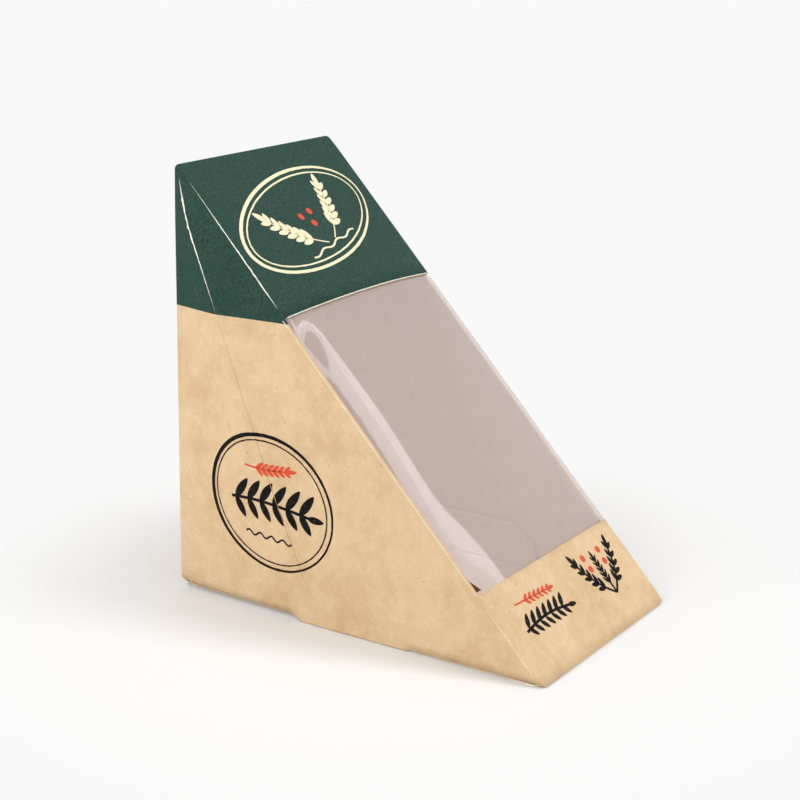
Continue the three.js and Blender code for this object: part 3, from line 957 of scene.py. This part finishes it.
art = bmesh.new()
draw_line(art, lambda t: (mix(-28, -5, t), 160 - 1.2 * math.sin(t * math.pi)), 0.8, 40)
for i in range(7):
    u = mix(-26.5, -8.5, i / 6)
    draw_leaf(art, (u, 159.3), 4.6, 2.2, -56, BROAD_LEAF_TIP)
    draw_leaf(art, (u, 159.3), 3.8, 1.9, 50, BROAD_LEAF_TIP)
draw_leaf(art, (-5.5, 160), 3.6, 1.9, 8, BROAD_LEAF_TIP)
for lean, length, curve, leaf in ((-90, 11, 0, (3.2, 1.3)), (-33, 15, -0.35, (3.9, 1.9)),
                                  (-147, 15, 0.35, (3.9, 1.9))):
    draw_sprig(art, SHEAF, length, lean, 5, leaf=leaf, width=0.8, bend_by=curve)
lay(art, "band_black", slope_plate, black_ink)

art = bmesh.new()
draw_sprig(art, (-26, 152.2), 17, 3, 6, leaf=(2.7, 1.3), width=0.5)
for u, v in ((22.3, 155.2), (13.7, 155.2), (22.6, 151.4), (13.4, 151.4)):
    draw_dot(art, (u, v), 1.1)
lay(art, "band_orange", slope_plate, orange_ink)

# %% [markdown]
# ## Cracked folds
#
# A fold stretches the liner, and green ink is brittle: along the crease of the side and along the fold
# between side and slope it has split, and bare fibres show as a fine pale line. Each crack is widest half
# way and frays out at its ends.

# %% Cracks in the print
def crack(name, plate, material, start, end, width, seed):
    bm = bmesh.new()
    made = bmesh.ops.create_grid(bm, x_segments=160, y_segments=1, size=0.5)["verts"]
    a, b = Vector(start), Vector(end)
    along = (b - a).normalized()
    for vert in made:
        t = vert.co.x + 0.5
        place = Vector((t * 40 + seed, 0.5 if vert.co.y > 0 else 2.5, seed))
        ragged = 0.75 + 0.6 * noise.noise(place)
        body = min(1, 6 * t, 1.6 * (1 - t)) ** 0.8
        half = width * body * max(0.25, ragged) * vert.co.y
        here = mix(a, b, t)
        vert.co = (here.x - along.y * half, here.y + along.x * half, 0)
    lay(bm, name, plate, material)


def down_crease(length):
    """A point of the side's plate on the crease, so many millimetres from the apex."""
    crease_way = Vector((math.sin(APEX_ANGLE / 2), -math.cos(APEX_ANGLE / 2)))
    return crease_way * length + Vector((0, HEIGHT / MM))


print_foot = (HEIGHT - PRINT_LEVEL) / math.cos(APEX_ANGLE / 2) / MM
crack("crease_crack", side_plate, bare_fibre, down_crease(5), down_crease(print_foot - 0.5),
      width=0.62, seed=3.7)
crack("fold_crack", fold_plate, bare_fibre, (51, -0.1), (8, 0.1), width=0.42, seed=9.1)

# %% [markdown]
# A cutting knife bruises the board beside its line, and the bruise shows as a hair of pale fibre above the
# window and down its left side.

# %% Pale fibre round the window
EDGE_INSET = 0.16
EDGE_WIDTH = 0.2
SIDE_EDGE_DEPTH = -0.8


def by_the_fold(s, n):
    """A point of the side's plate, s down the slope and n out of it, in millimetres."""
    return (s * math.cos(SLOPE_ANGLE) + n * math.sin(SLOPE_ANGLE),
            HEIGHT / MM - s * math.sin(SLOPE_ANGLE) + n * math.cos(SLOPE_ANGLE))


rims = bmesh.new()
draw_line(rims, lambda t: (mix(-35, 35, t), UPPER_PANEL / MM - EDGE_INSET), EDGE_WIDTH, 60)
lay(rims, "window_head_fibre", slope_plate, bare_fibre)
rims = bmesh.new()
draw_line(rims, lambda t: by_the_fold(mix(UPPER_PANEL, WINDOW_BOTTOM, t) / MM, SIDE_EDGE_DEPTH),
          EDGE_WIDTH, 90)
lay(rims, "side_edge_fibre", side_plate, raw_edge)

# %% [markdown]
# Below the print the crease of the side goes on as a darker hairline, painted shade for its groove, and
# along the lower end of the side fold a pale line is a painted highlight where the round fold catches the
# light.
# Both show more by their tone than by their depth, so they are drawn like the cracks.

# %% Painted crease shade and painted fold highlight
# The darker kraft is painted shade down the crease groove, the paler one a painted highlight on the round
# fold.
painted_crease_shade = kraft("kraft_painted_crease_shade", "#c9a678", "#b99465", "#d6b68b", 0.85)
painted_fold_highlight = kraft("kraft_painted_fold_highlight", "#efd9b6", "#e4c99d", "#f5e4c6", 0.85)
CREASE_SHADE_END = 127
FOLD_HIGHLIGHT_START = 145
FOLD_HIGHLIGHT_END = 170.5
FOLD_HIGHLIGHT_DEPTH = -0.6

# Painted shade as a hairline down the crease, then a painted highlight along the foot of the side fold.
crack("crease_shade_paint", side_plate, painted_crease_shade, down_crease(CREASE_SHADE_END), down_crease(print_foot + 1),
      width=0.3, seed=5.3)
crack("fold_highlight_paint", side_plate, painted_fold_highlight, by_the_fold(FOLD_HIGHLIGHT_END, FOLD_HIGHLIGHT_DEPTH),
      by_the_fold(FOLD_HIGHLIGHT_START, FOLD_HIGHLIGHT_DEPTH), width=0.9, seed=7.1)

# %% [markdown]
# ## Base panel
#
# The base goes on from the foot of the front panel. Flat, it is a strip with a step where it meets the
# dust flaps, then a fold, then the tongue that tucks in behind the back panel. Two vertices make its first
# edge; extrude and spin draw the rest of the strip from it, and a vertex bevel rounds the tongue.

# %% Base panel
FOLD_REACH = 1.6 * MM
FOLD_HALF = WIDTH / 2 - 0.75 * FRONT_CORNER
BASE_CORNER = 2 * MM
BASE_GAP = 0.3 * MM
BASE_REAR = BACK - 2 * BOARD - BASE_GAP
BASE_STEP = 0.4 * MM
TONGUE_FOLD_RADIUS = 1.0 * MM
TONGUE_NECK = 2 * MM
TONGUE_HEIGHT = 18 * MM
TONGUE_LEAN = math.radians(6)
TONGUE_INSET = 4 * MM
TONGUE_CORNER = 9 * MM
BASE_TAPER = 1.2 * MM
BASE_CUTS = (-40, -20, 0, 20, 40)


def strip_of(bm, edge, move, half):
    """Extrudes one cross edge along, and sets the strip's half width there."""
    grown = bmesh.ops.extrude_edge_only(bm, edges=[edge])["geom"]
    verts = only(BMVert, grown)
    bmesh.ops.translate(bm, verts=verts, vec=move)
    for vert in verts:
        vert.co.x = math.copysign(half, vert.co.x)
    return next(e for e in only(BMEdge, grown) if all(v in verts for v in e.verts))


def base_skin():
    bm = bmesh.new()
    start = HINGE.y + FOLD_REACH
    ends = [bm.verts.new((x, start, 0)) for x in (-FOLD_HALF, FOLD_HALF)]
    edge = bm.edges.new(ends)
    between = WIDTH / 2 - 2 * HEM_RADIUS - BASE_GAP
    rear = between - BASE_TAPER
    step = HEM_FRONT - BASE_GAP
    flat_end = BASE_REAR - TONGUE_FOLD_RADIUS
    edge = strip_of(bm, edge, (0, BASE_CORNER, 0), WIDTH / 2 - BOARD)
    edge = strip_of(bm, edge, (0, step - BASE_STEP - start - BASE_CORNER, 0), WIDTH / 2 - BOARD)
    edge = strip_of(bm, edge, (0, BASE_STEP, 0), between)
    edge = strip_of(bm, edge, (0, flat_end - step, 0), rear)
    edge = spin(bm, [edge], (0, flat_end, TONGUE_FOLD_RADIUS), (1, 0, 0), math.pi / 2 + TONGUE_LEAN, 8)[0]
    up = Vector((0, -math.sin(TONGUE_LEAN), math.cos(TONGUE_LEAN)))
    edge = strip_of(bm, edge, up * TONGUE_NECK, rear - TONGUE_INSET)
    tongue_rest = TONGUE_HEIGHT - TONGUE_NECK - TONGUE_FOLD_RADIUS
    edge = strip_of(bm, edge, up * tongue_rest, rear - TONGUE_INSET)
    bevel(bm, list(edge.verts), TONGUE_CORNER, 8, affect="VERTICES")
    for y in BASE_CUTS:
        cut(bm, (0, y * MM, 0), (0, 1, 0))
    face_towards(bm, (0, 0, -1))
    return bm


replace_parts(board_piece(base_skin(), "base_panel", "base"), "base_flap")

# %% [markdown]
# ## The fold between front and base
#
# Board bends here when the base opens, so a short strip crosses the joint.

# %% Front fold
FOLD_RADIUS = 0.5 * MM
FOLD_THICKNESS = BOARD * 0.9
FRONT_GAP = 0.02 * MM


def front_fold_skin():
    bm = bmesh.new()
    turn = math.pi - SLOPE_ANGLE
    corner = Vector((0, -BACK, 0))
    tangent = FOLD_RADIUS / math.tan(SLOPE_ANGLE / 2)
    slope_end = corner - DOWN_SLOPE * ((EDGE_RISE + FRONT_GAP) / math.sin(SLOPE_ANGLE))
    on_face = corner - DOWN_SLOPE * tangent
    centre = on_face - OUT_OF_SLOPE * FOLD_RADIUS
    ends = [bm.verts.new(slope_end + Vector((x, 0, 0))) for x in (-FOLD_HALF, FOLD_HALF)]
    edge = bm.edges.new(ends)
    if (slope_end - on_face).dot(DOWN_SLOPE) < 0:
        edge = strip_of(bm, edge, on_face - slope_end, FOLD_HALF)
    edge = spin(bm, [edge], centre, (1, 0, 0), turn, 12)[0]
    at = edge.verts[0].co.y
    strip_of(bm, edge, (0, HINGE.y + FOLD_REACH - at, 0), FOLD_HALF)
    face_towards(bm, (0, -1, 0))
    return bm


front_fold = board_piece(front_fold_skin(), "front_fold", None, depth=FOLD_THICKNESS, smooth=True)

# %% [markdown]
# ## The film
#
# The window is a sheet of clear plastic, glued behind the board and turned in along the sides. All of its
# look is in its reflections, so its surface has to be smooth and fine: a grid of small squares is rolled to
# this section and then given its waves.

# %% Section of the film
FILM_STRIP = 6 * MM
FILM_FOLD = 1.6 * MM


def film_section(along, half):
    """Place across, place out of the slope and how squarely it faces out, at a share from -1 to 1."""
    flat = half - FILM_FOLD
    quarter = FILM_FOLD * math.pi / 2
    total = flat + quarter + FILM_STRIP
    side = 1 if along > 0 else -1
    at = abs(along) * total
    if at < flat:
        return side * at, 0, 1
    if at < flat + quarter:
        turn = (at - flat) / FILM_FOLD
        facing = math.cos(turn)
        return side * (flat + FILM_FOLD * math.sin(turn)), FILM_FOLD * (facing - 1), facing
    return side * half, -FILM_FOLD - (at - flat - quarter), 0


print("its side strips lie", round(-film_section(1, WIDTH / 2)[1] / MM, 1), "mm deep")

# %% [markdown]
# The sheet bows out between the sides, falls away towards the left one, more so near the foot, and puckers
# in the upper left corner. On the right it stands a little proud of the board. Where the glue holds it, it
# can do none of this.

# %% Waves of the film
SHOULDER_START = 20 * MM
SHOULDER_DROP = 2.4 * MM
FOOT_SHOULDER_START = 12 * MM
FOOT_SHOULDER_REACH = 12 * MM
FOOT_SHOULDER_TILT = 0.305
GLUED_RUN = 9 * MM
RIGHT_GLUED_RUN = GLUED_RUN / 7
SLACK = 0.05


def hump(x, s, at, reach, height):
    """A soft dent or swelling of the sheet."""
    return height * math.exp(-((x - at[0]) / reach[0]) ** 2 - ((s - at[1]) / reach[1]) ** 2)


def shoulder(x, down, half):
    """How far the film falls away on the left; its tilt there is what mirrors the strip lights."""
    past = max(0, -x - SHOULDER_START) / (half - SHOULDER_START)
    along = max(0, -x - FOOT_SHOULDER_START) / FOOT_SHOULDER_REACH
    bent = along ** 3 - along ** 4 / 2 if along < 1 else along - 0.5
    return mix(SHOULDER_DROP * past ** 2, FOOT_SHOULDER_TILT * FOOT_SHOULDER_REACH * bent, down)


def ripple(x, s):
    """The pucker in the corner, and the slow waves of a sheet that isn't quite taut."""
    x, s = x / MM, s / MM
    corner = hump(x, s, (-27, 61), (3.5, 5.5), 0.4) + hump(x, s, (-32, 66), (2.5, 7), -0.25)
    slack = SLACK * math.sin(s / 7.5 + x / 22) * smoothstep(abs(x), 10, 32)
    return (corner + slack) * MM


def glued(s, left):
    """0 where the glue holds the film, 1 where it is free, s down the slope."""
    run = GLUED_RUN if left else RIGHT_GLUED_RUN
    foot = WINDOW_BOTTOM + (run / 2 if left else 0)
    return smoothstep(s, UPPER_PANEL, UPPER_PANEL + run) * (1 - smoothstep(s, foot - run / 4, foot))


print("fall at the left edge:", round(shoulder(-WIDTH / 2, 1, WIDTH / 2) / MM, 1), "mm near the foot")

# %% [markdown]
# Now the grid is rolled, given its waves and set behind the board, with an overlap for the glue above and
# below the window. Its material comes with it.

# %% Rolled film and its plastic
FILM_OVERLAP = 8 * MM
FILM_CROWN = 1.2 * MM
RIGHT_PROUD = 1.2 * MM
RIGHT_SPREAD = 0.75 * MM
SPREAD_RUN = 4 * MM
FILM_COLUMNS = 120
FILM_ROWS = 110


def film_skin():
    bm = bmesh.new()
    bmesh.ops.create_grid(bm, x_segments=FILM_COLUMNS, y_segments=FILM_ROWS, size=1)
    half = WIDTH / 2 - BOARD - GLUE_LINE
    top = UPPER_PANEL - FILM_OVERLAP
    bottom = WINDOW_BOTTOM + FILM_OVERLAP
    for vert in bm.verts:
        u, v = vert.co.x, vert.co.y
        x, n, facing = film_section(u, half)
        s = mix(top, bottom, (1 - v) / 2)
        opened = min(1, max(0, (s - UPPER_PANEL) / (WINDOW_BOTTOM - UPPER_PANEL)))
        crown = FILM_CROWN * math.sin(math.pi * opened) ** 2 * (1 - (x / half) ** 2)
        free = glued(s, left=x < 0)
        if x < 0:
            down = smoothstep(s, mix(UPPER_PANEL, WINDOW_BOTTOM, 0.5), WINDOW_BOTTOM)
            drop = shoulder(x, down, half) * free
            out = facing * (front_bow(x, s) + crown - drop + ripple(x, s))
        else:
            proud = RIGHT_PROUD * (smoothstep(x, SHOULDER_START / 2, half) * free)
            out = facing * (front_bow(x, s) + crown + ripple(x, s)) + proud
            near_fold = smoothstep(x, half - SPREAD_RUN, half)
            x += RIGHT_SPREAD * free * near_fold * smoothstep(n, -FILM_STRIP, -FILM_FOLD)
        vert.co = on_slope(x, s, n - BOARD - GLUE_LINE + out)
    face_towards(bm, (0, 0, 1))
    return bm


def clear_film():
    """Cellulose or PET sheet: clear, faintly hazy and glossy, so alpha carries most of it."""
    material, tree, surface = new_material("clear_pet_film")
    set_inputs(surface, {"Base Color": linear("#efddd7"), "Roughness": 0.06, "IOR": 1.57,
                         "Coat Weight": 1, "Coat Roughness": 0.04, "Alpha": 0.32})
    return material


# %% [markdown]
# In the lower left corner of the window a small dark wedge lies behind the film. It is painted shade, put
# where the film turns in at the fold and the inside there is in shadow.

# %% Painted shade in the corner
SHADE_WEDGE_LEVEL = -1.0 * MM
SHADE_WEDGE_CORNERS = ((-34.9, 140.2), (-34.9, 144), (-32.4, 144))

shade_wedge_bm = bmesh.new()
bmesh.ops.create_circle(shade_wedge_bm, cap_ends=True, segments=3, radius=1)
for vert, (x, s) in zip(shade_wedge_bm.verts, SHADE_WEDGE_CORNERS):
    vert.co = on_slope(x * MM, s * MM, SHADE_WEDGE_LEVEL)
face_towards(shade_wedge_bm, (0, 0, 1))
# Dark brown kraft that stands for the shadow in the corner: painted shade.
painted_corner_shade = kraft("kraft_painted_corner_shade", "#5b3420", "#4c2a18", "#6e4630", 0.9)
shade_wedge = finished(shade_wedge_bm, "corner_painted_shade", [painted_corner_shade], "carton", smooth=False)
thicken(shade_wedge, BOARD / 3)

# %% [markdown]
# The film itself goes in front of the painted shade wedge and takes the place of its CAD node.

# %% Film piece
film = finished(film_skin(), "clear_film", [clear_film()], "carton")
thicken(film, FILM)
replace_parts(film, "window_film")

# %% [markdown]
# ## Light and stage
#
# The box stands on a pale floor in soft light from all round. Two long strip lights above the front make
# the bright band along the film, which is their reflection. A small softbox on the left lifts the rear of
# the side, and a wide weak one the top. The floor fills the whole picture, and away from the box its
# shader gives way to an even pale tone, which only the camera sees.

# %% Stage
BACKDROP = 0.947
SKY_LIGHT = 0.7
FLOOR_TONE = 0.86
FLOOR_SIZE = 6
FLOOR_DROP = 0.05 * MM
FADE_START = 0.06
FADE_END = 0.15


def stage_floor():
    bm = bmesh.new()
    bmesh.ops.create_grid(bm, x_segments=1, y_segments=1, size=FLOOR_SIZE)
    material, tree, surface = new_material("pale_floor")
    set_inputs(surface, {"Base Color": (FLOOR_TONE, FLOOR_TONE, FLOOR_TONE, 1), "Roughness": 1,
                         "Specular IOR Level": 0})
    place = add_node(tree, "ShaderNodeTexCoord").outputs["Object"]
    reach = add_node(tree, "ShaderNodeVectorMath", {"operation": "LENGTH"}, {0: place})
    far = add_node(tree, "ShaderNodeMapRange", {"From Min": FADE_START, "From Max": FADE_END,
                                                "interpolation_type": "SMOOTHSTEP"},
                   {"Value": reach.outputs["Value"]})
    path = add_node(tree, "ShaderNodeLightPath")
    seen = add_node(tree, "ShaderNodeMath", {"operation": "MULTIPLY"},
                    {0: far.outputs["Result"], 1: path.outputs["Is Camera Ray"]})
    glow = add_node(tree, "ShaderNodeEmission", {"Color": (BACKDROP, BACKDROP, BACKDROP, 1)})
    both = add_node(tree, "ShaderNodeMixShader", {}, {"Fac": seen.outputs["Value"],
                                                      1: surface.outputs["BSDF"],
                                                      2: glow.outputs["Emission"]})
    tree.links.new(both.outputs["Shader"], tree.nodes["Material Output"].inputs["Surface"])
    floor = as_object(bm, "floor", [material])
    floor.location.z = -FLOOR_DROP


stage_floor()
print("floor fades to the backdrop from", FADE_START, "to", FADE_END, "m")

# %% [markdown]
# Each lamp is a rectangle whose long side follows the slope, at a distance from a point that it looks at.
# The world is a plain pale sky. Rays that the film mirrors or lets through see the backdrop's tone in it,
# and the board sees a dimmer one, so that the lamps can model its folds.

# %% Lights
def area_light(name, towards, distance, size, power, look_at=(0, 0, 0.06)):
    data = bpy.data.lights.new(name, "AREA")
    data.shape = "RECTANGLE"
    data.size, data.size_y = size
    data.energy = power
    light = add_object(name, data)
    direction = Vector(towards).normalized()
    light.location = Vector(look_at) + direction * distance
    long_side = (DOWN_SLOPE - direction * DOWN_SLOPE.dot(direction)).normalized()
    axes = Matrix((long_side.cross(direction), long_side, direction)).transposed()
    light.rotation_euler = axes.to_euler()
    print(f"{name}: {power} W")


world = bpy.data.worlds.new("studio")
bpy.context.scene.world = world
world.use_nodes = True
sky = world.node_tree
ray = add_node(sky, "ShaderNodeLightPath")
seen_or_mirrored = add_node(sky, "ShaderNodeMath", {"operation": "MAXIMUM"},
                            {0: ray.outputs["Is Camera Ray"], 1: ray.outputs["Is Glossy Ray"]})
shown = add_node(sky, "ShaderNodeMath", {"operation": "MAXIMUM"},
                 {0: seen_or_mirrored.outputs["Value"], 1: ray.outputs["Is Transmission Ray"]})
level = add_node(sky, "ShaderNodeMapRange", {"To Min": SKY_LIGHT, "To Max": BACKDROP},
                 {"Value": shown.outputs["Value"]})
sky.nodes["Background"].inputs["Color"].default_value = (1, 1, 1, 1)
sky.links.new(level.outputs["Result"], sky.nodes["Background"].inputs["Strength"])
area_light("broad_strip_over_film", towards=(0.27, -0.56, 0.78), distance=1.0, size=(0.3, 1.0), power=3.5)
area_light("fine_strip_over_film", towards=(0.355, -0.54, 0.76), distance=0.95, size=(0.13, 1.0), power=0.6)
area_light("softbox_left", towards=(-0.75, 0.25, 0.5), distance=0.45, size=(0.3, 0.3), power=0.95,
           look_at=(-0.036, 0.058, 0.115))
area_light("softbox_top", towards=(-0.3, -0.5, 0.8), distance=1.4, size=(0.7, 0.7), power=0.15)
bpy.context.scene.view_settings.view_transform = "Standard"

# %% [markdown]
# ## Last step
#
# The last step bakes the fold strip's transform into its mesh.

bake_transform(front_fold)
